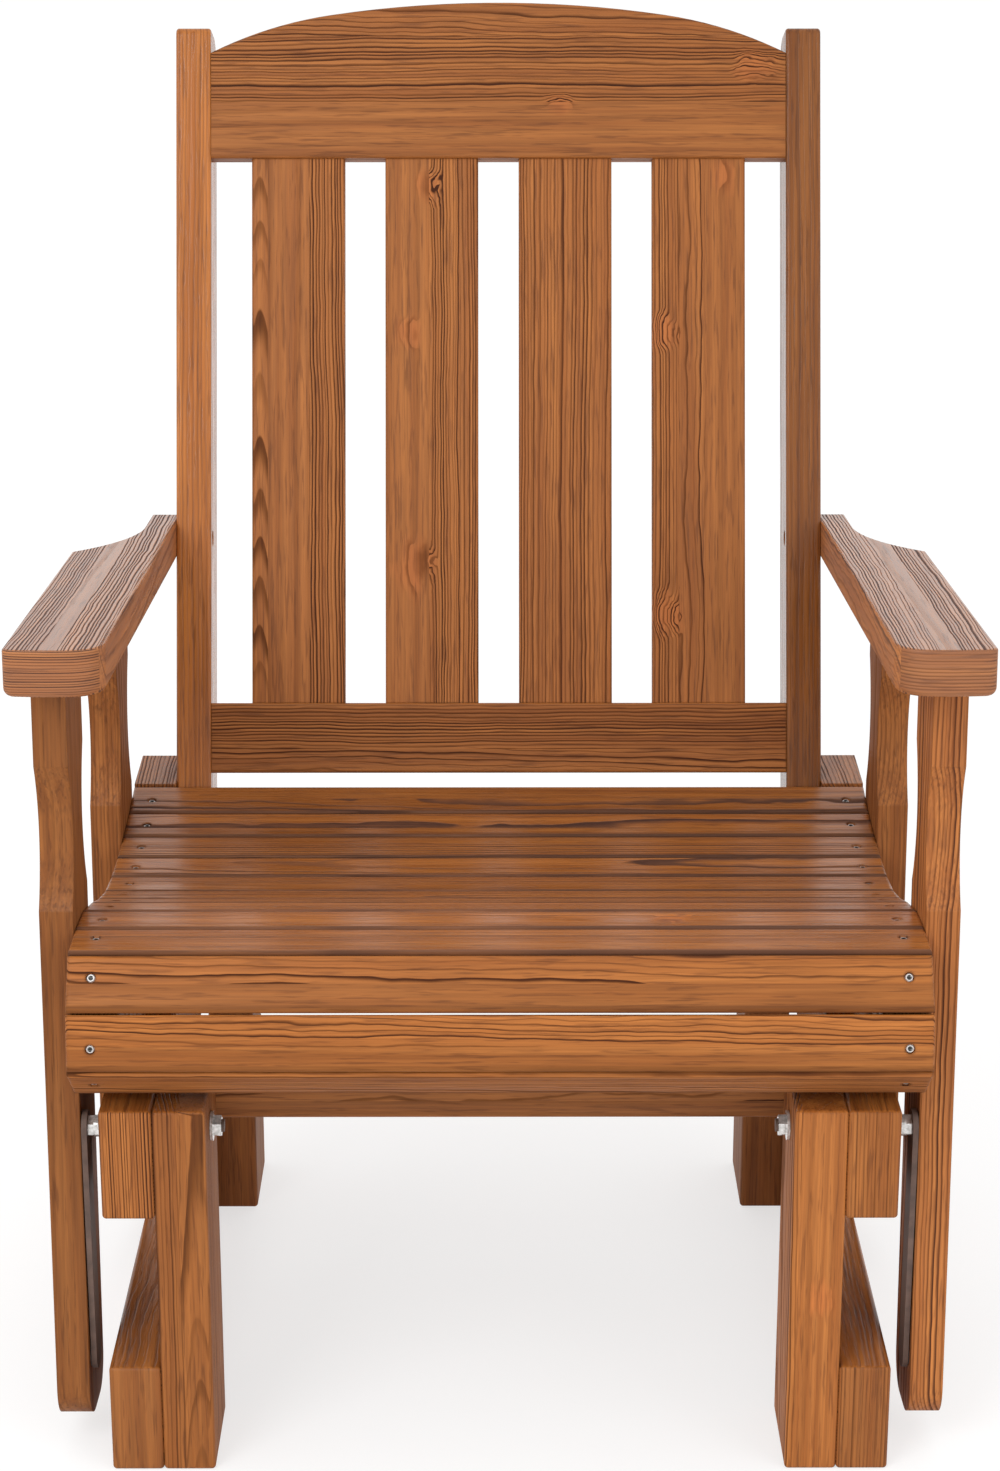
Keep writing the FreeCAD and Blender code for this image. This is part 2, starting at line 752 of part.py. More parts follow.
def make_leg(row, name, side):
    front = leg_fronts[row]
    back = front + size.leg_width
    bottom = lower_pivot(row).z - leg_toes[row]
    toe = size.toe_radius
    heel = size.heel_radius
    waist = (size.neck_top + size.neck_bottom) / 2
    rounding = 1 - math.sqrt(0.5)
    outline = [(front, bottom + toe), (front, size.neck_bottom),
               ((front + size.neck_depth, waist), (front, size.neck_top)),
               (front, size.leg_top), (back, size.leg_top), (back, size.neck_top),
               ((back - size.neck_depth, waist), (back, size.neck_bottom)),
               (back, bottom + heel),
               ((back - heel * rounding, bottom + heel * rounding), (back - heel, bottom)),
               (front + toe, bottom),
               ((front + toe * rounding, bottom + toe * rounding), (front, bottom + toe))]
    label = row + "_leg_" + name
    body, _ = side_piece(label + "_board", outline, "leg_thickness", seat_half, side)
    pivot = lower_pivot(row)
    outward = Vector(side, 0, 0)
    inner_face = Vector(side * seat_half, pivot.y, pivot.z)
    nest = Vector(side * (seat_half + size.leg_thickness - nest_depth), pivot.y, pivot.z)
    holes = [(inner_face, outward, size.bush_diameter, size.leg_thickness),
             (nest, outward, nest_diameter, nest_depth),
             (dowel_point(row, side), Vector(0, 0, -1), size.dowel_diameter, size.dowel_length / 2)]
    holes += screw_holes(leg_screw_points(row, side), size.wood_screw_diameter, leg_screw_length)
    keep(label, body, seat_frame, holes)


def make_leg_fittings():
    bushes = []
    screws = []
    dowels = []
    shape = wood_screw(leg_screw_length)
    for side in SIDES.values():
        for row in leg_fronts:
            pivot = lower_pivot(row)
            point = Vector(side * seat_half, pivot.y, pivot.z)
            bush = flanged_bush(size.leg_thickness - nest_depth, size.leg_flange_thickness)
            bushes.append(placed(bush, aimed(point, Vector(side, 0, 0))))
            screws += [placed(shape, aimed(*one)) for one in leg_screw_points(row, side)]
            dowel = Part.makeCylinder(size.dowel_diameter / 2, size.dowel_length)
            start = dowel_point(row, side) - Vector(0, 0, size.dowel_length / 2)
            dowels.append(placed(dowel, Placement(start, Rotation())))
    keep_group("leg_bushes", bushes, seat_frame)
    keep_group("leg_screws", screws, seat_frame)
    keep_group("arm_dowels", dowels, seat_frame)


# Arms

def arm_screw_point(side):
    """The screw from a back post's inner face into the arm, in the seat's frame."""
    middle = size.leg_top + size.arm_thickness / 2
    setback = size.arm_screw_setback
    up = (middle - back_foot_height + setback * math.sin(lean)) / math.cos(lean)
    point = back_place.multVec(Vector(side * (back_post_inner + screw_let_in), setback, up))
    return point, Vector(side, 0, 0)


arm_screw_length = size.back_post_thickness - screw_let_in + size.arm_screw_bite


def make_arm(name, side):
    inner = support_inner
    outer = inner + size.arm_width
    tail = inner + size.arm_tail_width
    # The arm's tail laps the back post, measured from the post's front at half the arm's thickness.
    post_front = back_foot + (size.leg_top + size.arm_thickness / 2 - back_foot_height) * math.tan(lean)
    rear = post_front + size.arm_lap
    front = rear - size.arm_length
    scoop_end = rear - size.arm_tail_length
    reach = outer - tail
    scoop = (reach ** 2 + size.scoop_run ** 2) / (2 * reach)
    half_turn = math.asin(size.scoop_run / scoop) / 2
    scoop_via = (tail + scoop * (1 - math.cos(half_turn)), scoop_end - scoop * math.sin(half_turn))

    def mirrored(step):
        if isinstance(step[0], tuple):
            return tuple(mirrored(point) for point in step)
        return side * step[0], step[1]

    outline = [mirrored(step) for step in (
        (inner, rear), (inner, front),
        (((inner + outer) / 2, front - size.arm_bow), (outer, front)),
        (outer, scoop_end - size.scoop_run), (scoop_via, (tail, scoop_end)), (tail, rear))]
    label = "arm_" + name
    body = new_body(label + "_board")
    sketch = new_sketch(body, "XY_Plane")
    draw(sketch, outline)
    feature = pad(body, sketch, "arm_thickness")
    for corner, alias in ((inner, "arm_inner_corner"), (outer, "arm_outer_corner")):
        feature = ease(body, feature, alias, edge_at(X=side * corner, Y=front))
    feature = ease(body, feature, "arm_under_ease", edge_at(Z=0))
    ease(body, feature, "arm_top_ease", edge_at(Z=size.arm_thickness))
    body.Placement = Placement(Vector(0, 0, size.leg_top), Rotation())
    point, outward = arm_screw_point(side)
    holes = [(point, outward, size.wood_screw_diameter, arm_screw_length)]
    for row in leg_fronts:
        holes.append((dowel_point(row, side), ALONG_Z, size.dowel_diameter, size.dowel_length / 2))
    keep(label, body, seat_frame, holes)


def make_arm_screws():
    shape = wood_screw(arm_screw_length)
    screws = [placed(shape, aimed(*arm_screw_point(side))) for side in SIDES.values()]
    keep_group("arm_screws", screws, seat_frame)


# Back, in the back's frame: +Y is the way a sitter leans, +Z runs up the back

crest_shoulder = size.crest_bottom + size.crest_side_height
lower_rail_top = size.lower_rail_bottom + size.lower_rail_height
back_slat_gap = (2 * back_post_inner - BACK_SLATS * size.back_slat_width) / (BACK_SLATS + 1)
back_slat_front = size.back_setback + (size.crest_thickness - size.back_slat_thickness) / 2
tenon_front = back_slat_front + (size.back_slat_thickness - size.tenon_thickness) / 2
rail_screw_length = size.back_post_thickness - screw_let_in + size.wood_screw_bite


def rail_screw_points(side):
    """The screws from a post's outer face into the ends of the crest and the lower rail."""
    heights = []
    for low, high in ((size.crest_bottom, crest_shoulder), (size.lower_rail_bottom, lower_rail_top)):
        heights += [low + size.rail_screw_margin, high - size.rail_screw_margin]
    y = size.back_setback + size.crest_thickness / 2
    seat_x = side * (support_inner - screw_let_in)
    return [(Vector(seat_x, y, height), Vector(-side, 0, 0)) for height in heights]


def make_back_posts():
    depth = size.back_post_depth
    top = crest_shoulder + size.back_post_rise
    outline = [(0, -back_post_drop), (0, top), (depth, top), (depth, -back_post_drop)]
    bolts = []
    to_back = back_place.inverse()
    for name, side in SIDES.items():
        body, feature = side_piece("back_post_" + name + "_board", outline, "back_post_thickness",
                                   back_post_inner, side)
        feature = ease(body, feature, "back_post_front_corner", edge_at(Y=0, Z=top))
        feature = ease(body, feature, "back_post_rear_corner", edge_at(Y=depth, Z=top))

        def above_foot(edge):
            return edge.BoundBox.XLength < 1e-4 and edge.BoundBox.ZMax > 0

        ease(body, feature, "back_ease", above_foot)
        rail_screws = rail_screw_points(side)
        holes = screw_holes(rail_screws, size.wood_screw_diameter, rail_screw_length)
        point, direction = arm_screw_point(side)
        arm_screw = [(to_back.multVec(point), direction)]
        holes += screw_holes(arm_screw, size.wood_screw_diameter, arm_screw_length)
        holes += head_holes(rail_screws + arm_screw, size.wood_screw_head, size.back_post_thickness)
        for point, direction in back_bolt_points(side):
            holes.append((to_back.multVec(point), direction, size.bolt_diameter, back_bolt_length))
        keep("back_post_" + name, body, back_frame, holes)
        shape = bolt(size.bolt_diameter, back_bolt_length, size.bolt_head, size.bolt_head_height)
        bore = size.bolt_diameter / 2 + size.hole_clearance
        for point, direction in back_bolt_points(side):
            bolts.append(placed(shape, aimed(point, direction)))
            bolts.append(placed(ring(size.bolt_head / 2, bore, size.washer_thickness),
                                aimed(point + direction * bolt_grip, direction)))
            bolts.append(placed(nut(size.bolt_nut_width, bore, size.bolt_nut_height),
                                aimed(point + direction * (bolt_grip + size.washer_thickness), direction)))
    keep_group("back_post_bolts", bolts, seat_frame)


def back_slat_left(number):
    """The left edge of a back slat, counted from the left."""
    return -back_post_inner + back_slat_gap + number * (size.back_slat_width + back_slat_gap)


def mortised(label, body, top_of_slats):
    """Cuts the mortises for the back slats' tenons into a rail."""
    slack = size.mortise_clearance
    boxes = []
    for number in range(BACK_SLATS):
        box = doc.addObject("Part::Box", label + "_mortise")
        box.Length = size.back_slat_width - 2 * size.tenon_shoulder + 2 * slack
        box.Width = size.tenon_thickness + 2 * slack
        box.Height = size.tenon_length + slack
        x = back_slat_left(number) + size.tenon_shoulder - slack
        z = size.crest_bottom if top_of_slats else lower_rail_top - size.tenon_length - slack
        box.Placement = Placement(Vector(x, tenon_front - slack, z), Rotation())
        boxes.append(box)
    tool = doc.addObject("Part::Compound", label + "_mortises")
    tool.Links = boxes
    cut = doc.addObject("Part::Cut", label + "_mortised")
    cut.Base = body
    cut.Tool = tool
    doc.recompute()
    return cut


def rail_holes():
    holes = []
    for side in SIDES.values():
        holes += screw_holes(rail_screw_points(side), size.wood_screw_diameter, rail_screw_length)
    return holes


def crest_arch():
    """The crest's top from right to left: a flat crown between two tighter arcs that meet it smoothly."""
    crown = size.crest_crown_radius
    half = size.crest_crown_half
    turn = math.asin(half / crown)
    top = crest_shoulder + size.crest_rise
    join = top - crown * (1 - math.cos(turn))
    run = back_post_inner - half
    fall = join - crest_shoulder
    bend = (run ** 2 + fall ** 2) / (2 * (fall * math.cos(turn) - run * math.sin(turn)))
    middle = (turn + math.asin(math.sin(turn) + run / bend)) / 2
    via = (half + bend * (math.sin(middle) - math.sin(turn)),
           join - bend * (math.cos(turn) - math.cos(middle)))
    return [(back_post_inner, crest_shoulder),
            (via, (half, join)),
            ((0, top), (-half, join)),
            ((-via[0], via[1]), (-back_post_inner, crest_shoulder))]


def make_back_rails():
    crest = new_body("crest_rail_board")
    sketch = new_sketch(crest, "XZ_Plane", -size.back_setback)
    draw(sketch, [(-back_post_inner, size.crest_bottom), (back_post_inner, size.crest_bottom)] + crest_arch())
    feature = pad(crest, sketch, "crest_thickness", True)
    ease(crest, feature, "back_ease", runs_across)
    keep("crest_rail", mortised("crest_rail", crest, True), back_frame, rail_holes())

    lower, feature = board("lower_back_rail_board", "crest_thickness", "lower_rail_height", "slat_length")
    beside = "(Sizes.support_thickness + Sizes.back_post_thickness)"
    feature.setExpression("Length", "Sizes.slat_length - 2 * " + beside)
    doc.recompute()
    ease(lower, feature, "back_ease", runs_across)
    corner = Vector(-back_post_inner, size.back_setback, size.lower_rail_bottom)
    lower.Placement = Placement(corner, Rotation())
    keep("lower_back_rail", mortised("lower_back_rail", lower, False), back_frame, rail_holes())


def make_back_slat(number):
    left = back_slat_left(number)
    right = left + size.back_slat_width
    label = "back_slat_%d" % (number + 1)
    body = new_body(label)
    sketch = new_sketch(body, "XZ_Plane", -back_slat_front)
    draw(sketch, [(left, lower_rail_top), (right, lower_rail_top), (right, size.crest_bottom),
                  (left, size.crest_bottom)])
    feature = pad(body, sketch, "back_slat_thickness", True)
    ease(body, feature, "back_ease", runs_up)
    sketch = new_sketch(body, "XZ_Plane", -tenon_front)
    draw(sketch, [(left + size.tenon_shoulder, lower_rail_top - size.tenon_length),
                  (right - size.tenon_shoulder, lower_rail_top - size.tenon_length),
                  (right - size.tenon_shoulder, size.crest_bottom + size.tenon_length),
                  (left + size.tenon_shoulder, size.crest_bottom + size.tenon_length)])
    pad(body, sketch, "tenon_thickness", True)
    keep(label, body, back_frame)


def make_back_rail_screws():
    shape = wood_screw(rail_screw_length)
    screws = []
    for side in SIDES.values():
        screws += [placed(shape, aimed(*one)) for one in rail_screw_points(side)]
    keep_group("back_rail_screws", screws, back_frame)


def check_and_write():
    doc.recompute()
    for item in doc.Objects:
        if "Invalid" in item.State or "Error" in item.State:
            raise RuntimeError(item.Label + " failed: " + str(item.State))
    for label, item in nodes.items():
        if item.Shape.isNull() or not item.Shape.isValid():
            raise RuntimeError(label + " has no valid shape")
    os.makedirs("parts", exist_ok=True)
    for label, item in nodes.items():
        item.Shape.exportStep("parts/" + label + ".step")


make_base()
make_upper_bushes()
for side_name, side_sign in SIDES.items():
    for end in pivot_rows:
        make_link(end, side_name, side_sign)
        make_leg(end, side_name, side_sign)
    make_arm(side_name, side_sign)
for slat in range(len(SLAT_HEADINGS)):
    make_slat(slat)
make_supports()
make_slat_screws()
make_leg_fittings()
make_arm_screws()
make_back_posts()
make_back_rails()
for slat in range(BACK_SLATS):
    make_back_slat(slat)
make_back_rail_screws()
check_and_write()
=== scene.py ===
import json
import math
import random
from collections import namedtuple

import bpy
from mathutils import Matrix, Vector


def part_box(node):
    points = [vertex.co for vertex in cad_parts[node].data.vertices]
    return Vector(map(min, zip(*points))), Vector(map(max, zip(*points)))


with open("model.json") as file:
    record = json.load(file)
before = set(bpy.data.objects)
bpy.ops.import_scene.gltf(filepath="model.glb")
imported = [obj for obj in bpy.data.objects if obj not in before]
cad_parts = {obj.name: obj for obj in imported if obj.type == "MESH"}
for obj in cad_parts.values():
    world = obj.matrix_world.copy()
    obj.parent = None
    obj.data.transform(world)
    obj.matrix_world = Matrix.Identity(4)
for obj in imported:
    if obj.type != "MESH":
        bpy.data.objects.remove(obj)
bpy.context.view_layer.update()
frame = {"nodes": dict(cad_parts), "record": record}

# The chair's directions. The seat tips back, the back leans, and each seat slat has a heading in degrees,
# from the rear slat to the tucked one under the front.
SEAT_TILT = math.radians(4.0)
BACK_LEAN = math.radians(18.0)
SLAT_HEADINGS = (15.0, 11.5, 7.5, 4.5, -1.0, -9.0, -13.0, -9.0, 0.5, 6.0, 58.0, 84.0, 143.0)

X = Vector((1, 0, 0))
Y = Vector((0, 1, 0))
Z = Vector((0, 0, 1))
SEAT_BACKWARD = Vector((0, math.cos(SEAT_TILT), -math.sin(SEAT_TILT)))
SEAT_UP = Vector((0, math.sin(SEAT_TILT), math.cos(SEAT_TILT)))
BACK_UP = Vector((0, math.sin(BACK_LEAN), math.cos(BACK_LEAN)))
BACK_FRONT = Vector((0, -math.cos(BACK_LEAN), math.sin(BACK_LEAN)))


def slat_normal(number):
    """The direction that a seat slat's face looks in."""
    turn = math.radians(SLAT_HEADINGS[number - 1])
    return SEAT_BACKWARD * -math.sin(turn) + SEAT_UP * math.cos(turn)


class Tree:
    """Short calls that add nodes to a node tree and link them."""

    # Where the Mix node keeps its two colours and its result.
    MIX_FIRST = 6
    MIX_SECOND = 7
    MIX_RESULT = 2

    def __init__(self, tree):
        self.tree = tree

    def node(self, kind, **settings):
        made = self.tree.nodes.new(kind)
        for name, value in settings.items():
            setattr(made, name, value)
        return made

    def feed(self, socket, value):
        """Link a socket to another one, or set it to a plain value."""
        if isinstance(value, bpy.types.NodeSocket):
            self.tree.links.new(value, socket)
        else:
            socket.default_value = value

    def math(self, operation, *values):
        made = self.node("ShaderNodeMath", operation=operation)
        for socket, value in zip(made.inputs, values):
            self.feed(socket, value)
        return made.outputs[0]

    def total(self, *values):
        """The sum of all the values."""
        result = values[0]
        for value in values[1:]:
            result = self.math("ADD", result, value)
        return result

    def times(self, *values):
        """The product of all the values."""
        result = values[0]
        for value in values[1:]:
            result = self.math("MULTIPLY", result, value)
        return result

    def vector(self, operation, *values):
        made = self.node("ShaderNodeVectorMath", operation=operation)
        for socket, value in zip(made.inputs, values):
            self.feed(socket, value)
        return made.outputs["Value" if operation in ("DOT_PRODUCT", "DISTANCE") else "Vector"]

    def scaled(self, vector, amount):
        made = self.node("ShaderNodeVectorMath", operation="SCALE")
        self.feed(made.inputs[0], vector)
        self.feed(made.inputs["Scale"], amount)
        return made.outputs["Vector"]

    def split(self, vector):
        made = self.node("ShaderNodeSeparateXYZ")
        self.feed(made.inputs[0], vector)
        return made.outputs

    def join(self, x, y, z):
        made = self.node("ShaderNodeCombineXYZ")
        for socket, value in zip(made.inputs, (x, y, z)):
            self.feed(socket, value)
        return made.outputs[0]

    def noise(self, place, waves, detail=2.0, roughness=0.5):
        """A noise with so many waves per metre along each axis."""
        made = self.node("ShaderNodeTexNoise")
        self.feed(made.inputs["Vector"], self.vector("MULTIPLY", place, waves))
        self.feed(made.inputs["Scale"], 1.0)
        self.feed(made.inputs["Detail"], detail)
        self.feed(made.inputs["Roughness"], roughness)
        return made.outputs["Fac"]

    def noise_line(self, value):
        """A noise along one number."""
        made = self.node("ShaderNodeTexNoise", noise_dimensions="1D")
        self.feed(made.inputs["W"], value)
        self.feed(made.inputs["Scale"], 1.0)
        self.feed(made.inputs["Detail"], 1.0)
        return made.outputs["Fac"]

    def white(self, value):
        """A number from 0 to 1 that jumps with the value."""
        made = self.node("ShaderNodeTexWhiteNoise", noise_dimensions="1D")
        self.feed(made.inputs["W"], value)
        return made.outputs["Value"]

    def span(self, value, low, high, to_low=0.0, to_high=1.0):
        """A smooth change from to_low to to_high as the value goes from low to high."""
        made = self.node("ShaderNodeMapRange", interpolation_type="SMOOTHSTEP")
        for socket, item in zip(made.inputs, (value, low, high, to_low, to_high)):
            self.feed(socket, item)
        return made.outputs[0]

    def mix(self, amount, first, second):
        """A colour between two colours."""
        made = self.node("ShaderNodeMix", data_type="RGBA")
        self.feed(made.inputs["Factor"], amount)
        self.feed(made.inputs[self.MIX_FIRST], first)
        self.feed(made.inputs[self.MIX_SECOND], second)
        return made.outputs[self.MIX_RESULT]

    def swing(self, noise, amount):
        """A noise turned into a shift to both sides."""
        return self.math("MULTIPLY", self.math("SUBTRACT", noise, 0.5), amount)

    def facing(self, normal, direction):
        """How squarely a surface looks along a direction or against it."""
        return self.math("ABSOLUTE", self.vector("DOT_PRODUCT", normal, tuple(direction)))


def empty_material(name):
    """A new material without nodes, and the tree that fills it."""
    material = bpy.data.materials.new(name)
    material.use_nodes = True
    material.node_tree.nodes.clear()
    return material, Tree(material.node_tree)


def close_material(t, shader):
    """Link a shader to the output of its material."""
    t.feed(t.node("ShaderNodeOutputMaterial").inputs["Surface"], shader.outputs[0])


# The noises in the wood, in waves per metre along, across and out of a board.
SLOW_WAVES = (1.3, 7.0, 7.0)
MIDDLING_WAVES = (8.0, 26.0, 26.0)
RIPPLE_WAVES = (42.0, 70.0, 70.0)
FIBRE_WAVES = (14.0, 620.0, 620.0)
FLECK_WAVES = (26.0, 420.0, 420.0)
STREAK_WAVES = (2.2, 130.0, 130.0)
PATCH_WAVES = (3.0, 20.0, 20.0)
KNOT_WAVES = (60.0, 90.0, 90.0)
# The last one makes the painted shade along a seat slat's front edge uneven.
FRONT_SHADE_WAVES = (7.0, 50.0, 50.0)
# Where each board reads these noises, for every step of its Shift.
SHIFT_STEP = (3.7, 1.9, 0.7)

# How far the rings are bent by the first three noises and by a knot, in metres.
SLOW_BEND = 0.018
MIDDLING_BEND = 0.0062
RIPPLE_BEND = 0.0014
KNOT_BEND = 0.006
# How much livelier and darker the lines are in a knot.
KNOT_WAVE = 3.0
KNOT_LINE = 0.45
# The pitch of the rings swells and shrinks, in so many waves per ring and by so many rings.
PITCH_WAVES = 0.27
PITCH_SWING = 1.3

# Where in a ring the late wood begins, for the weakest ring and the strongest, where it is darkest and where
# it starts to end. On thin lines it begins and is darkest later.
LATE_BEGINS = (0.50, 0.22)
LATE_DARKEST = 0.84
LATE_ENDS = 0.92
THIN_BEGINS_LATER = 0.36
THIN_DARKEST_LATER = 0.07
# What is left of the dark lines in the weakest rings and in the faintest streaks.
WEAKEST_RING = 0.40
FAINTEST_STREAK = 0.62
# Over which range a chance number or a noise brings about its change.
RING_RANGE = (0.0, 0.8)
LATE_STREAK_RANGE = (0.25, 0.55)
STREAK_RANGE = (0.30, 0.70)
PATCH_RANGE = (0.48, 0.74)
FLECK_RANGE = (0.52, 0.68)
FIBRE_RANGE = (0.20, 0.80)

# The stained wood's colours.
BROWN_WOOD = (0.262, 0.082, 0.0165, 1)
GOLDEN_WOOD = (0.366, 0.128, 0.0290, 1)
DULL_WOOD = (0.190, 0.056, 0.0120, 1)
KNOT_WOOD = (0.470, 0.138, 0.034, 1)
FLECK_WOOD = (0.100, 0.028, 0.0070, 1)
DARK_LINE = (0.036, 0.0100, 0.0026, 1)
BROWN_LINE = (0.066, 0.0150, 0.0040, 1)
# Edge colours: the lighter one is wear and a painted highlight along the edges of most boards, the darker one
# is a painted shade on the edges of the seat slats, where they meet.
WORN_EDGE_AND_HIGHLIGHT = (0.44, 0.165, 0.042, 1)
PAINTED_EDGE_SHADE = (0.072, 0.022, 0.006, 1)
# How much of their colours patches, knots and flecks show at most.
PATCH_SHARE = 0.40
KNOT_SHARE = 0.50
FLECK_SHARE = 0.46
# How dark and how pale single fibres are.
FIBRE_TONES = (0.84, 1.16)

# How rough the fibres are at least and at most, and what the dark lines and the flecks add.
FIBRE_ROUGHNESS = (0.12, 0.21)
LINE_ROUGHNESS = 0.62
FLECK_ROUGHNESS = 0.1
# How high the fibres stand and how deep the lines and flecks lie, as shares of the bump's distance.
FIBRE_HEIGHT = 0.10
LINE_DEPTH = 0.90
FLECK_DEPTH = 0.4

# What sets one strip of wood apart from another: inputs of the wood group.
GRAIN = ("Ring", "PithY", "PithZ", "Taper", "Tone", "Line", "Wave", "Thin", "Shift")


def growth_rings(t, given, place):
    """How far through its ring each point lies, from 0 to 1, and a chance number for that ring."""
    knot = given["Knot"]
    x, y, z = t.split(given["Board"])
    slow = t.swing(t.noise(place, SLOW_WAVES, 1.0), SLOW_BEND)
    middling = t.swing(t.noise(place, MIDDLING_WAVES, 2.0), MIDDLING_BEND)
    ripple = t.swing(t.noise(place, RIPPLE_WAVES, 1.0), RIPPLE_BEND)
    lively = t.total(given["Wave"], t.times(knot, KNOT_WAVE))
    bend = t.total(slow, t.times(t.total(middling, ripple), lively), t.times(knot, KNOT_BEND))
    across = t.math("SUBTRACT", y, given["PithY"])
    deep = t.math("SUBTRACT", z, given["PithZ"])
    radius = t.math("SQRT", t.total(t.times(across, across), t.times(deep, deep)))
    radius = t.total(radius, bend, t.times(x, given["Taper"]))
    phase = t.total(t.math("DIVIDE", radius, given["Ring"]), given["Shift"])
    phase = t.total(phase, t.swing(t.noise_line(t.times(phase, PITCH_WAVES)), PITCH_SWING))
    return t.math("FRACT", phase), t.white(t.math("FLOOR", phase))


def late_wood(t, turn, ring_chance, streak, thin):
    """The dark part of each ring, which begins slowly and ends at once."""
    begins = t.total(t.span(ring_chance, 0.0, 1.0, *LATE_BEGINS), t.times(thin, THIN_BEGINS_LATER))
    darkest = t.total(LATE_DARKEST, t.times(thin, THIN_DARKEST_LATER))
    rise = t.span(turn, begins, darkest)
    fall = t.span(turn, LATE_ENDS, 1.0, 1.0, 0.0)
    by_ring = t.span(ring_chance, *RING_RANGE, WEAKEST_RING, 1.0)
    by_streak = t.span(streak, *LATE_STREAK_RANGE, FAINTEST_STREAK, 1.0)
    return t.times(rise, fall, by_ring, by_streak)


def wood_group():
    """Stained pine in a board's own coordinates: X along the grain, Y across the face, Z out of it."""
    group = bpy.data.node_groups.new("stained_pine", "ShaderNodeTree")
    group.interface.new_socket("Board", in_out="INPUT", socket_type="NodeSocketVector")
    for name in GRAIN + ("Knot",):
        group.interface.new_socket(name, in_out="INPUT", socket_type="NodeSocketFloat")
    group.interface.new_socket("Color", in_out="OUTPUT", socket_type="NodeSocketColor")
    for name in ("Roughness", "Height"):
        group.interface.new_socket(name, in_out="OUTPUT", socket_type="NodeSocketFloat")
    t = Tree(group)
    given = t.node("NodeGroupInput").outputs
    knot = given["Knot"]
    place = t.vector("ADD", given["Board"], t.scaled(SHIFT_STEP, given["Shift"]))
    fibre = t.noise(place, FIBRE_WAVES, 2.0, 0.6)
    fleck = t.noise(place, FLECK_WAVES, 2.0, 0.6)
    streak = t.noise(place, STREAK_WAVES, 3.0, 0.6)
    patch = t.noise(place, PATCH_WAVES, 3.0, 0.55)

    turn, ring_chance = growth_rings(t, given, place)
    late = late_wood(t, turn, ring_chance, streak, given["Thin"])
    line = t.math("MINIMUM", t.times(late, t.total(given["Line"], t.times(knot, KNOT_LINE))), 1.0)
    fleck_mark = t.span(fleck, *FLECK_RANGE, 0.0, FLECK_SHARE)

    color = t.mix(t.span(streak, *STREAK_RANGE), BROWN_WOOD, GOLDEN_WOOD)
    color = t.mix(t.span(patch, *PATCH_RANGE, 0.0, PATCH_SHARE), color, DULL_WOOD)
    color = t.mix(t.times(knot, KNOT_SHARE), color, KNOT_WOOD)
    color = t.mix(fleck_mark, color, FLECK_WOOD)
    color = t.mix(line, color, t.mix(patch, DARK_LINE, BROWN_LINE))
    color = t.scaled(color, t.times(t.span(fibre, *FIBRE_RANGE, *FIBRE_TONES), given["Tone"]))

    rough = t.total(t.span(fibre, *FIBRE_RANGE, *FIBRE_ROUGHNESS), t.times(line, LINE_ROUGHNESS),
                    t.times(fleck_mark, FLECK_ROUGHNESS))
    sunk = t.total(t.times(line, LINE_DEPTH), t.times(fleck_mark, FLECK_DEPTH))
    height = t.math("SUBTRACT", t.times(fibre, FIBRE_HEIGHT), sunk)
    leave = t.node("NodeGroupOutput")
    for name, value in (("Color", color), ("Roughness", rough), ("Height", height)):
        t.feed(leave.inputs[name], value)
    return group


PINE = wood_group()

# The ways a strip of board can be cut from its log: the ring pitch and the distance to the pith in metres,
# how far below the face the pith lies in degrees, the run-out along the grain, the tone, and the strength
# of the dark lines, their liveliness and their thinness.
Cut = namedtuple("Cut", "ring distance angle taper tone line wave thin")
CUTS = {
    "lines": Cut(0.0037, 0.200, 6.0, 0.003, 1.10, 1.00, 0.8, 0.0),
    "dense": Cut(0.0028, 0.180, 6.0, 0.003, 1.08, 1.10, 1.0, 0.0),
    "fine": Cut(0.0029, 0.220, 6.0, 0.002, 1.08, 1.00, 0.6, 0.2),
    "plain": Cut(0.0085, 0.120, 30.0, 0.006, 1.00, 0.20, 1.0, 0.0),
    "brushed": Cut(0.0024, 0.180, 16.0, 0.004, 1.18, 2.00, 0.9, 0.2),
    "end": Cut(0.0021, 0.220, 6.0, 0.003, 1.16, 1.20, 0.2, 0.3),
    "end_soft": Cut(0.0026, 0.220, 6.0, 0.003, 1.06, 0.62, 0.3, 0.2),
    "rail": Cut(0.0026, 0.180, 30.0, 0.004, 1.08, 0.95, 0.9, 0.2),
    "figure": Cut(0.0032, 0.004, 86.0, 0.100, 1.08, 0.86, 0.3, 0.0),
    "wavy": Cut(0.0030, 0.060, 50.0, 0.014, 1.06, 1.08, 1.2, 0.6),
    "streaks": Cut(0.0048, 0.030, 66.0, 0.010, 1.06, 1.10, 1.0, 0.6),
    "cathedral": Cut(0.0012, 0.020, 82.0, 0.008, 1.06, 0.80, 0.2, 0.4),
    "edge_lines": Cut(0.0030, 0.240, 74.0, 0.003, 1.08, 0.95, 0.8, 0.0),
    "edge_soft": Cut(0.0034, 0.240, 74.0, 0.003, 1.04, 0.42, 0.8, 0.2),
    "edge_plain": Cut(0.0060, 0.200, 80.0, 0.004, 1.00, 0.22, 0.8, 0.0),
}


def grain_of(cut, middle, draw):
    """The grain of a strip about its middle, from the way it is cut and some chance."""
    side = draw.choice((-1.0, 1.0))
    distance = cut.distance * draw.uniform(0.8, 1.25)
    angle = math.radians(cut.angle + draw.uniform(-3.0, 3.0))
    return {
        "Ring": cut.ring * draw.uniform(0.88, 1.12),
        "PithY": middle + side * distance * math.cos(angle),
        "PithZ": -distance * math.sin(angle),
        "Taper": draw.choice((-1.0, 1.0)) * cut.taper * draw.uniform(0.7, 1.3),
        "Tone": cut.tone * draw.uniform(0.97, 1.03),
        "Line": cut.line * draw.uniform(0.92, 1.04),
        "Wave": cut.wave,
        "Thin": cut.thin,
        "Shift": draw.uniform(1.0, 60.0),
    }


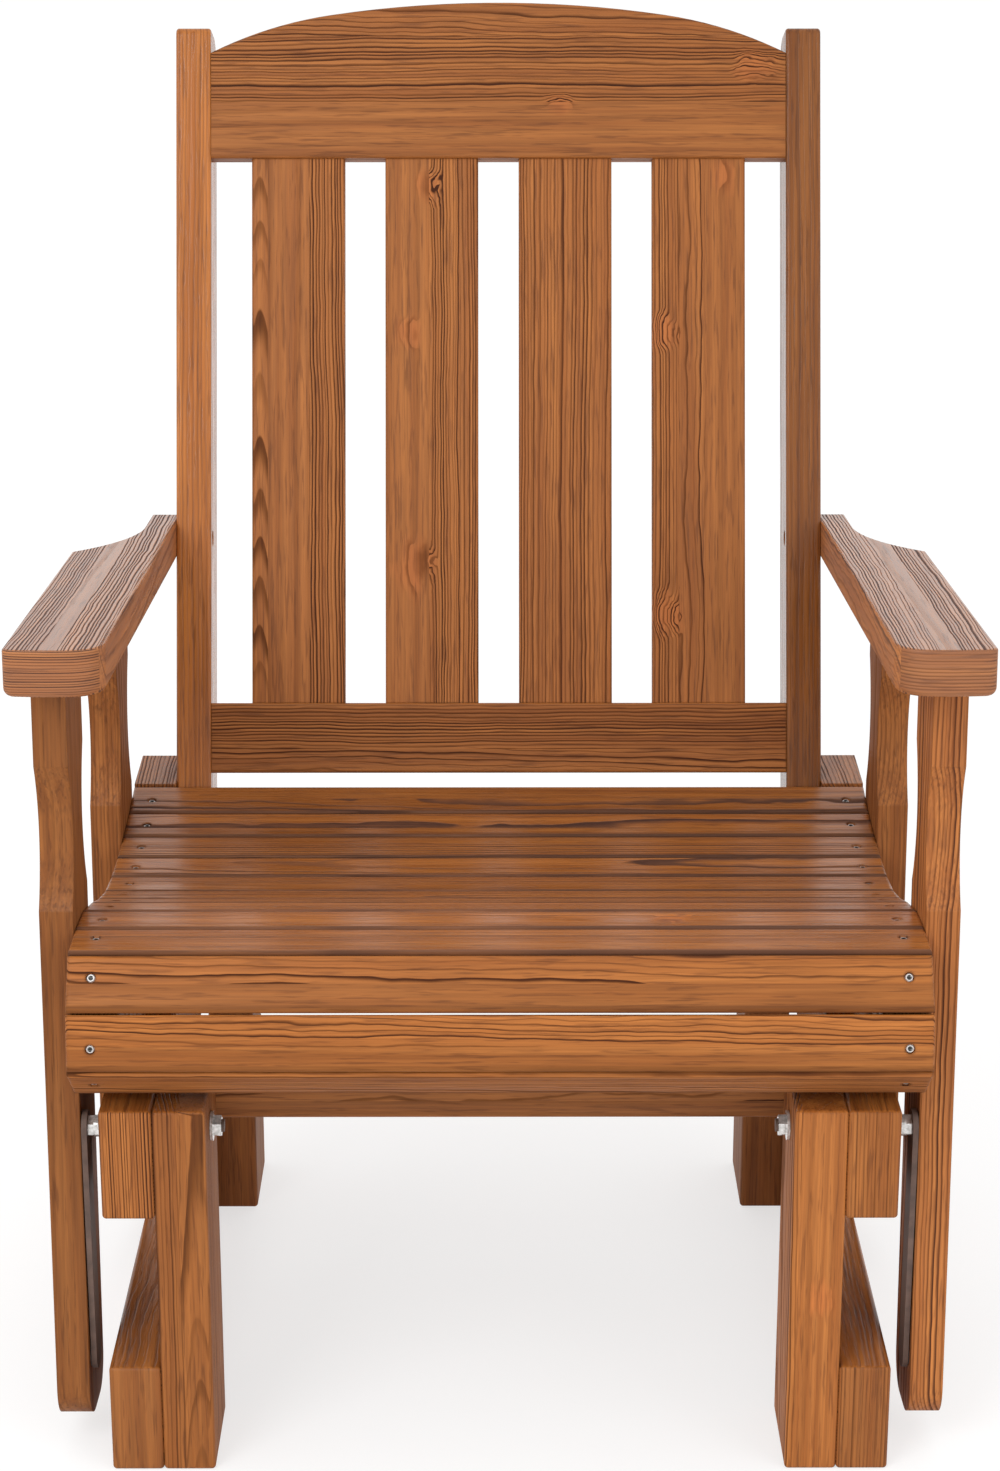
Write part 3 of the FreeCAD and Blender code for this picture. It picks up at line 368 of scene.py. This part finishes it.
# The families of boards: how the grain runs, which way the main face looks, how wide that face is in
# metres, how much rougher the sides are, the tone, and how the varnish bends light.
Family = namedtuple("Family", "name along face width side_rough tone ior")
FAMILIES = (
    Family("back_slat", BACK_UP, BACK_FRONT, 0.078, 0.30, 1.06, 1.34),
    Family("crest_rail", X, BACK_FRONT, 0.131, 0.30, 0.97, 1.33),
    Family("lower_back_rail", X, BACK_FRONT, 0.0587, 0.30, 0.93, 1.33),
    Family("back_post_left", BACK_UP, X, 0.057, 0.0, 1.32, 1.36),
    # The right back post's low tone stands partly for the arm's shadow on it: painted shade.
    Family("back_post_right", BACK_UP, X, 0.057, 0.0, 0.72, 1.36),
    Family("arm", SEAT_BACKWARD, SEAT_UP, 0.069, 0.45, 1.06, 1.66),
    Family("front_leg_left", SEAT_UP, X, 0.080, 0.40, 0.78, 1.33),
    Family("front_leg_right", SEAT_UP, X, 0.080, 0.40, 1.26, 1.40),
    Family("rear_leg", SEAT_UP, X, 0.080, 0.40, 0.86, 1.33),
    Family("seat_support", SEAT_BACKWARD, X, 0.090, 0.40, 0.95, 1.40),
    Family("front_stretcher", X, -Y, 0.0463, 0.40, 0.95, 1.36),
    Family("rear_stretcher", X, -Y, 0.0463, 0.40, 0.95, 1.36),
    Family("bottom_rail_left", Y, X, 0.0848, 0.40, 0.96, 1.36),
    Family("bottom_rail_right", Y, X, 0.0848, 0.40, 1.00, 1.36),
    Family("upper_rail", Y, X, 0.0848, 0.40, 1.02, 1.33),
    Family("front_post_left", Z, -Y, 0.0381, 0.40, 0.95, 1.33),
    Family("front_post_right", Z, -Y, 0.0381, 0.40, 1.24, 1.33),
    Family("rear_post", Z, -Y, 0.0381, 0.40, 0.90, 1.36),
)

# The seat slats, from the rear to the front. The last three make the front roll.
SLAT_WIDTH = 0.042
SLAT_SIDE_ROUGH = 0.40
SLAT_IORS = (1.52,) * 7 + (1.60,) * 3 + (1.30,) * 3
# The slat tones hold painted light as well as the wood's tone: darker on the rear slats, a painted shade
# where the back shades the seat, and lighter on slats 6 to 10, a painted highlight and sheen.
SLAT_TONES_AND_PAINTED_LIGHT = (0.88, 0.90, 0.92, 0.95, 1.06, 1.20, 1.25, 1.30, 1.22, 1.13, 1.08, 1.16, 1.00)
LAST_FLAT_SLAT = 10

# The boards whose ends show rings, and how the tone of the ends compares with the rest.
RINGED_ENDS = (("arm", 0.98), ("upper_rail", 1.04), ("bottom_rail", 0.94))

# How boards are glued up, as shares of the width. The shares run upwards on rails and stretchers, from front
# to rear on seat slats, and from right to left on the rest. Ringed ends are like the first strip, which is
# a thin one where the ends differ.
STRIPS = {
    "crest_rail": ((0.36, "plain"), (0.42, "dense"), (0.22, "wavy")),
    "lower_back_rail": ((0.34, "wavy"), (0.66, "dense")),
    "back_slat_1": ((0.38, "dense"), (0.45, "plain"), (0.17, "figure")),
    "back_slat_2": ((0.20, "fine"), (0.33, "dense"), (0.47, "plain")),
    "back_slat_3": ((0.86, "lines"), (0.14, "fine")),
    "back_slat_4": ((0.43, "plain"), (0.28, "wavy"), (0.29, "fine")),
    "back_post_left": ((1.0, "edge_soft"),),
    "back_post_right": ((1.0, "edge_soft"),),
    "seat_slat_01": ((0.55, "streaks"), (0.45, "plain")),
    "seat_slat_02": ((0.35, "plain"), (0.65, "streaks")),
    "seat_slat_03": ((0.60, "lines"), (0.40, "plain")),
    "seat_slat_04": ((1.0, "streaks"),),
    "seat_slat_05": ((0.40, "plain"), (0.60, "lines")),
    "seat_slat_06": ((1.0, "streaks"),),
    "seat_slat_07": ((0.50, "streaks"), (0.50, "lines")),
    "seat_slat_08": ((0.50, "plain"), (0.50, "lines")),
    "seat_slat_09": ((0.65, "plain"), (0.35, "lines")),
    "seat_slat_10": ((0.6, "plain"), (0.4, "fine")),
    "seat_slat_11": ((0.50, "plain"), (0.50, "wavy")),
    "seat_slat_12": ((0.42, "plain"), (0.58, "wavy")),
    "seat_slat_13": ((0.5, "wavy"), (0.5, "fine")),
    "seat_support_left": ((1.0, "edge_lines"),),
    "seat_support_right": ((1.0, "edge_lines"),),
    "front_stretcher": ((0.3, "plain"), (0.7, "wavy")),
    "front_post_left": ((0.55, "cathedral"), (0.45, "fine")),
    "front_post_right": ((0.25, "plain"), (0.60, "plain"), (0.15, "fine")),
    "arm_left": ((0.04, "end"), (0.40, "brushed"), (0.18, "plain"), (0.38, "brushed")),
    "arm_right": ((0.04, "end_soft"), (0.34, "brushed"), (0.20, "plain"), (0.42, "brushed")),
    "front_leg_left": ((1.0, "edge_plain"),),
    "front_leg_right": ((1.0, "edge_lines"),),
    "rear_leg_left": ((1.0, "edge_soft"),),
    "rear_leg_right": ((1.0, "edge_soft"),),
    "rear_post_left": ((1.0, "plain"),),
    "rear_post_right": ((1.0, "plain"),),
    "bottom_rail_left": ((0.02, "plain"), (0.98, "wavy")),
    "bottom_rail_right": ((0.02, "end_soft"), (0.98, "rail")),
    "upper_rail_left": ((0.02, "end"), (0.98, "rail")),
    "upper_rail_right": ((0.02, "end_soft"), (0.98, "rail")),
}
HIDDEN_STRIPS = ((0.5, "plain"), (0.5, "lines"))

# Knots: how far along the board, how far across it, and their reach, in metres.
KNOTS = {
    "back_slat_2": ((-0.114, 0.015, 0.034), (0.083, 0.020, 0.020), (0.205, 0.002, 0.022)),
    "back_slat_4": ((-0.154, 0.029, 0.028), (0.083, 0.030, 0.022), (0.215, -0.020, 0.022)),
    "crest_rail": ((0.216, 0.012, 0.026), (0.051, -0.020, 0.016)),
    "seat_slat_09": ((0.125, 0.0, 0.022),),
    "front_post_right": ((-0.005, -0.004, 0.020),),
}


class Board:
    """All that the look of a wooden node depends on."""

    def __init__(self, node):
        on_seat = node.startswith("seat_slat")
        number = int(node[-2:]) if on_seat else 0
        if on_seat:
            family = Family(node, X, slat_normal(number), SLAT_WIDTH, SLAT_SIDE_ROUGH,
                            SLAT_TONES_AND_PAINTED_LIGHT[number - 1], SLAT_IORS[number - 1])
        else:
            family = next(entry for entry in FAMILIES if node.startswith(entry.name))
        self.along = family.along.normalized()
        self.face = (family.face - self.along * family.face.dot(self.along)).normalized()
        self.width = family.width
        self.side_rough = family.side_rough
        self.tone = family.tone
        self.ior = family.ior
        self.strips = STRIPS.get(node, HIDDEN_STRIPS)
        self.knots = KNOTS.get(node, ())
        self.end_tone = next((tone for name, tone in RINGED_ENDS if node.startswith(name)), None)

        # How the edges are rounded and painted (lighter for wear and as a painted highlight on most boards, a
        # painted shade on the seat slats), how dull the top is, and the painted shade of the joint along the
        # front edge.
        self.edge = PAINTED_EDGE_SHADE if on_seat else WORN_EDGE_AND_HIGHLIGHT
        self.edge_wear_and_light = 0.45 if on_seat else 0.30
        self.rounding = 0.0030 if on_seat else 0.0022
        self.matt = 0.12 if on_seat else 0.0
        self.painted_front_shade = 0.0
        self.front_shade_reach = 0.0
        # Seat slats get a painted shade of the joint along their front edge.
        if on_seat:
            self.painted_front_shade = 0.92 if number <= LAST_FLAT_SLAT else 0.50
            self.front_shade_reach = 0.0034 if number == LAST_FLAT_SLAT else 0.0060


# A surface belongs to a board's end where it looks along the grain by more than this. There the depth behind
# the end counts little, so that rings run straight round its corners.
END_FACING = 0.5
END_DEPTH = 0.15
# What the narrow sides of a board with ringed ends keep of its dark lines, and where they turn into its face.
SIDE_LINE = 0.40
SIDE_TO_FACE = (0.35, 0.75)
# Faces that look up are sealed best; the sides and undersides stay rougher.
UP_TO_SIDE = (0.80, 0.35)
# A knot is this many times longer along the grain than across it, and its core is this share of its reach.
KNOT_OVAL = 1.5
KNOT_CORE = 0.15
# The painted shade of the joint on a seat slat's front edge: over what breadth it fades, how uneven it is,
# what it adds to the roughness, and the tone of the whole slat at the front and at the rear, a painted
# shading that makes the slat lighter towards its rear.
FRONT_SHADE_FADE = 0.0026
FRONT_SHADE_RANGE = (0.3, 0.7)
FRONT_SHADE_LEAST = 0.55
FRONT_SHADE_ROUGHNESS = 0.55
FRONT_TO_REAR_PAINTED_SHADING = (0.92, 1.10)
# How far an edge has turned where its paint begins and where it is whole, as cosines: wear with a painted
# highlight on most boards, painted shade on the seat slats.
EDGE_PAINT_BEGINS = 0.995
EDGE_PAINT_WHOLE = 0.86
GRAIN_BUMP = 0.55
GRAIN_BUMP_DISTANCE = 0.0007
ROUGHEST = 0.9


def glued_grain(t, board, across, draw):
    """The grain of all strips of a board, which changes at each glue line."""
    values = {}
    edge = -board.width / 2
    for share, cut in board.strips:
        grain = grain_of(CUTS[cut], edge + share * board.width / 2, draw)
        if not values:
            values = dict(grain)
        else:
            past = t.math("GREATER_THAN", across, edge)
            for key in GRAIN:
                values[key] = t.total(values[key], t.times(past, grain[key] - before[key]))
        before = grain
        edge += share * board.width
    return values


def knot_mark(t, knots, place, x, y):
    """How much of a knot each point shows."""
    mark = 0.0
    for knot_x, knot_y, reach in knots:
        along = t.math("POWER", t.math("SUBTRACT", x, knot_x), 2.0)
        across = t.math("POWER", t.times(t.math("SUBTRACT", y, knot_y), KNOT_OVAL), 2.0)
        away = t.math("SQRT", t.total(along, across))
        ragged = t.total(away, t.swing(t.noise(place, KNOT_WAVES, 2.0), reach))
        mark = t.math("MAXIMUM", mark, t.span(ragged, reach, KNOT_CORE * reach))
    return mark


def wood_material(name, piece, centre, board, draw):
    """A board glued from strips, with knots, worn edges with painted highlights, painted seat shade, and
    varnish.
    """
    material, t = empty_material(name)
    turn = Matrix((board.along, board.face.cross(board.along), board.face))
    mapping = t.node("ShaderNodeMapping", vector_type="POINT")
    t.feed(mapping.inputs["Vector"], t.node("ShaderNodeTexCoord").outputs["Object"])
    mapping.inputs["Rotation"].default_value = turn.to_euler("XYZ")
    mapping.inputs["Location"].default_value = -(turn @ centre)
    place = mapping.outputs[0]
    x, y, z = t.split(place)
    normal = t.node("ShaderNodeNewGeometry").outputs["Normal"]
    tone = board.tone

    if board.end_tone is None:
        grain = glued_grain(t, board, y, draw)
    else:
        # On its ends the board shows rings across its thickness and no glue line. Its sides show them less.
        at_end = t.math("GREATER_THAN", t.facing(normal, board.along), END_FACING)
        inside = t.math("SUBTRACT", 1.0, at_end)
        place = t.join(t.total(t.times(inside, x), t.times(at_end, y)),
                       t.total(t.times(inside, y), t.times(at_end, z)),
                       t.total(t.times(inside, z), t.times(at_end, x, END_DEPTH)))
        grain = glued_grain(t, board, t.math("SUBTRACT", y, at_end), draw)
        on_face = t.span(t.facing(normal, board.face), *SIDE_TO_FACE, SIDE_LINE, 1.0)
        grain["Line"] = t.times(grain["Line"], t.math("MAXIMUM", at_end, on_face))
        tone = t.times(t.total(1.0, t.times(at_end, board.end_tone - 1.0)), tone)

    pine = t.node("ShaderNodeGroup", node_tree=PINE)
    t.feed(pine.inputs["Board"], place)
    for key in GRAIN:
        t.feed(pine.inputs[key], grain[key])
    t.feed(pine.inputs["Knot"], knot_mark(t, board.knots, place, x, y))

    # The edges are painted from here: lighter for wear and as a painted highlight on most boards, and with a
    # painted shade on the seat slats.
    bevel = t.node("ShaderNodeBevel", samples=4)
    bevel.inputs["Radius"].default_value = board.rounding
    edge_turn = t.vector("DOT_PRODUCT", bevel.outputs[0], normal)
    worn_and_painted_light = t.span(edge_turn, EDGE_PAINT_BEGINS, EDGE_PAINT_WHOLE, 0.0, board.edge_wear_and_light)
    rough = pine.outputs["Roughness"]
    if board.painted_front_shade:
        # A painted shade of the joint darkens the top along the front edge of the slat, and the slat is
        # painted
        # lighter towards its rear: painted shading.
        front = min((turn @ (corner.co - centre)).y for corner in piece.data.vertices)
        reach = front + board.front_shade_reach
        uneven = t.span(t.noise(place, FRONT_SHADE_WAVES), *FRONT_SHADE_RANGE, FRONT_SHADE_LEAST, 1.0)
        front_shade_mask = t.times(t.span(y, reach, reach - FRONT_SHADE_FADE, 0.0, board.painted_front_shade), uneven)
        worn_and_painted_light = t.math("MAXIMUM", worn_and_painted_light, front_shade_mask)
        rough = t.total(rough, t.times(front_shade_mask, FRONT_SHADE_ROUGHNESS))
        tone = t.times(t.span(y, front, front + board.width, *FRONT_TO_REAR_PAINTED_SHADING), tone)

    bump = t.node("ShaderNodeBump")
    bump.inputs["Strength"].default_value = GRAIN_BUMP
    bump.inputs["Distance"].default_value = GRAIN_BUMP_DISTANCE
    t.feed(bump.inputs["Height"], pine.outputs["Height"])
    t.feed(bump.inputs["Normal"], bevel.outputs[0])
    unsealed = t.span(t.split(normal)["Z"], *UP_TO_SIDE, board.matt, board.side_rough)
    shader = t.node("ShaderNodeBsdfPrincipled")
    t.feed(shader.inputs["Base Color"], t.scaled(t.mix(worn_and_painted_light, pine.outputs["Color"], board.edge), tone))
    t.feed(shader.inputs["Roughness"], t.math("MINIMUM", t.total(rough, unsealed), ROUGHEST))
    t.feed(shader.inputs["Normal"], bump.outputs[0])
    shader.inputs["IOR"].default_value = board.ior
    close_material(t, shader)
    return material


# The clouds and scratches on the fittings: the noise's range, and waves per metre.
CLOUD_RANGE = (0.3, 0.7)
SCRATCH_WAVES = (900.0, 900.0, 60.0)
SCRATCH_BUMP = 0.12
SCRATCH_BUMP_DISTANCE = 0.0002
# The painted shade of a driver socket, a dark disc in each slat screw's head: how far from its middle it
# reaches, and over what breadth it fades.
SOCKET_PAINTED_SHADE = (0.030, 0.026, 0.023, 1)
SOCKET_RADIUS = 0.0016
SOCKET_FADE = 0.0006
# Vertices this near to the highest one belong to the top of a screw's head.
HEAD_TOP = 0.0001


def slat_screw_heads():
    """The middle of the head of each slat's right-hand screw, from the topmost vertices inside the slat."""
    points = [vertex.co for vertex in frame["nodes"]["slat_screws"].data.vertices if vertex.co.x > 0]
    heads = []
    for number in range(1, len(SLAT_HEADINGS) + 1):
        low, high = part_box("seat_slat_%02d" % number)
        up = slat_normal(number)
        inside = [point for point in points if all(a <= b <= c for a, b, c in zip(low, point, high))]
        top = max(point.dot(up) for point in inside)
        rim = [point for point in inside if point.dot(up) > top - HEAD_TOP]
        heads.append(sum(rim, Vector()) / len(rim))
    return heads


def fitting_material(name, low, high, metallic, roughness, waves, sockets=()):
    """A metal or plastic whose tone and sheen vary in small clouds and scratches, with painted socket shade.
    """
    material, t = empty_material(name)
    coords = t.node("ShaderNodeTexCoord").outputs["Object"]
    cloud = t.noise(coords, (waves, waves, waves), 4.0, 0.6)
    color = t.mix(t.span(cloud, *CLOUD_RANGE), low, high)
    if sockets:
        # The driver sockets are painted dark, a painted shade for their recess. They lie alike on both sides
        # of the chair.
        x, y, z = t.split(coords)
        right = t.join(t.math("ABSOLUTE", x), y, z)
        away = 1.0
        for socket in sockets:
            away = t.math("MINIMUM", t.vector("DISTANCE", right, tuple(socket)), away)
        color = t.mix(t.span(away, SOCKET_RADIUS, SOCKET_RADIUS + SOCKET_FADE), SOCKET_PAINTED_SHADE, color)
    bump = t.node("ShaderNodeBump")
    bump.inputs["Strength"].default_value = SCRATCH_BUMP
    bump.inputs["Distance"].default_value = SCRATCH_BUMP_DISTANCE
    t.feed(bump.inputs["Height"], t.noise(coords, SCRATCH_WAVES, 2.0, 0.5))
    shader = t.node("ShaderNodeBsdfPrincipled")
    t.feed(shader.inputs["Base Color"], color)
    t.feed(shader.inputs["Roughness"], t.span(cloud, *CLOUD_RANGE, *roughness))
    t.feed(shader.inputs["Normal"], bump.outputs[0])
    shader.inputs["Metallic"].default_value = metallic
    close_material(t, shader)
    return material


ZINC = fitting_material("bright_zinc", low=(0.50, 0.49, 0.47, 1), high=(0.95, 0.94, 0.92, 1),
                        metallic=0.55, roughness=(0.10, 0.22), waves=320.0)
BRIGHT_HEADS = fitting_material("bright_screw_heads", low=(0.80, 0.79, 0.78, 1), high=(0.97, 0.97, 0.96, 1),
                                metallic=0.30, roughness=(0.22, 0.40), waves=520.0,
                                sockets=slat_screw_heads())
COATED_STEEL = fitting_material("brown_coated_steel", low=(0.088, 0.052, 0.039, 1),
                                high=(0.150, 0.092, 0.070, 1), metallic=0.0, roughness=(0.55, 0.70),
                                waves=90.0)
NYLON = fitting_material("black_nylon", low=(0.022, 0.022, 0.023, 1), high=(0.040, 0.040, 0.042, 1),
                         metallic=0.0, roughness=(0.45, 0.6), waves=120.0)
FITTING_SLOTS = {"zinc_hardware": ZINC, "coated_steel": COATED_STEEL, "bush_nylon": NYLON}

slots = {entry["node"]: entry["material_slot"] for entry in frame["record"]["subparts"]}
chance = random.Random(41)
for node in sorted(frame["nodes"]):
    piece = frame["nodes"][node]
    if node == "slat_screws":
        material = BRIGHT_HEADS
    elif slots[node] in FITTING_SLOTS:
        material = FITTING_SLOTS[slots[node]]
    else:
        low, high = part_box(node)
        centre = (Vector(low) + Vector(high)) / 2
        material = wood_material("pine_" + node, piece, centre, Board(node), chance)
    piece.data.materials.clear()
    piece.data.materials.append(material)

# The room: a pale floor under an even white sky, with a soft key from the upper front left.
FLOOR_REACH = 14.0
PAPER_WAVES = (3.0, 3.0, 3.0)
PAPER_DIM = (0.93, 0.93, 0.93, 1)
PAPER_BRIGHT = (0.95, 0.95, 0.95, 1)
# What the camera and reflections see of the floor: some light of its own, and a grey that takes the shadow.
PAPER_SEEN = (0.38, 0.38, 0.38, 1)
PAPER_GLOW = 0.66
PAPER_ROUGHNESS = 0.9
SKY_STRENGTH = 0.97
WHITE = (1, 1, 1, 1)


def studio_floor():
    """A pale paper floor that keeps the chair's shadow and runs out into the white background."""
    corners = [(x * FLOOR_REACH, y * FLOOR_REACH, 0) for x, y in ((-1, -1), (1, -1), (1, 1), (-1, 1))]
    mesh = bpy.data.meshes.new("floor")
    mesh.from_pydata(corners, [], [(0, 1, 2, 3)])
    floor = bpy.data.objects.new("floor", mesh)
    bpy.context.scene.collection.objects.link(floor)
    paper, t = empty_material("floor_paper")
    cloud = t.noise(t.node("ShaderNodeTexCoord").outputs["Object"], PAPER_WAVES)
    ray = t.node("ShaderNodeLightPath").outputs
    mirrored = t.math("MAXIMUM", ray["Is Glossy Ray"], ray["Is Transmission Ray"])
    seen = t.math("MAXIMUM", ray["Is Camera Ray"], mirrored)
    shader = t.node("ShaderNodeBsdfPrincipled")
    t.feed(shader.inputs["Base Color"], t.mix(seen, t.mix(cloud, PAPER_DIM, PAPER_BRIGHT), PAPER_SEEN))
    t.feed(shader.inputs["Emission Color"], WHITE)
    t.feed(shader.inputs["Emission Strength"], t.times(seen, PAPER_GLOW))
    shader.inputs["Roughness"].default_value = PAPER_ROUGHNESS
    shader.inputs["Specular IOR Level"].default_value = 0.0
    close_material(t, shader)
    mesh.materials.append(paper)


def studio_sky():
    """An even white sky."""
    world = bpy.data.worlds.new("studio")
    bpy.context.scene.world = world
    world.use_nodes = True
    world.node_tree.nodes.clear()
    t = Tree(world.node_tree)
    backdrop = t.node("ShaderNodeBackground")
    backdrop.inputs["Color"].default_value = WHITE
    backdrop.inputs["Strength"].default_value = SKY_STRENGTH
    t.feed(t.node("ShaderNodeOutputWorld").inputs["Surface"], backdrop.outputs[0])


LAMP_SIZE = 1.6
LAMP_TARGET = Vector((0, 0, 0.5))


def lamp(name, place, watts):
    """A square area light that looks at the middle of the chair."""
    data = bpy.data.lights.new(name, "AREA")
    data.shape = "RECTANGLE"
    data.size = LAMP_SIZE
    data.size_y = LAMP_SIZE
    data.energy = watts
    light = bpy.data.objects.new(name, data)
    light.location = place
    light.rotation_euler = (LAMP_TARGET - Vector(place)).to_track_quat("-Z", "Y").to_euler()
    bpy.context.scene.collection.objects.link(light)


# The camera that was fitted to the photograph: its focal length and height in pixels, its place in metres,
# and how far it looks down and to the right in degrees. The sensor lies along the picture's longer side.
FOCAL_PIXELS = 3053.0
PHOTO_HEIGHT_PIXELS = 1471.0
SENSOR_MM = 36.0
CAMERA_PLACE = (-0.0047, -2.3148, 1.2182)
CAMERA_DOWN = 17.99
CAMERA_RIGHT = 0.133
CAMERA_FAR = 60.0


def photo_camera():
    """The photograph's camera."""
    data = bpy.data.cameras.new("camera")
    data.sensor_width = SENSOR_MM
    data.lens = FOCAL_PIXELS / PHOTO_HEIGHT_PIXELS * SENSOR_MM
    data.clip_end = CAMERA_FAR
    camera = bpy.data.objects.new("camera", data)
    camera.location = CAMERA_PLACE
    camera.rotation_euler = (math.radians(90.0 - CAMERA_DOWN), 0.0, math.radians(-CAMERA_RIGHT))
    bpy.context.scene.collection.objects.link(camera)
    bpy.context.scene.camera = camera


studio_floor()
studio_sky()
lamp("key", (-1.6, -2.6, 2.6), watts=40.0)
lamp("fill", (2.2, -2.2, 1.4), watts=14.0)
photo_camera()
bpy.context.scene.view_settings.view_transform = "Standard"
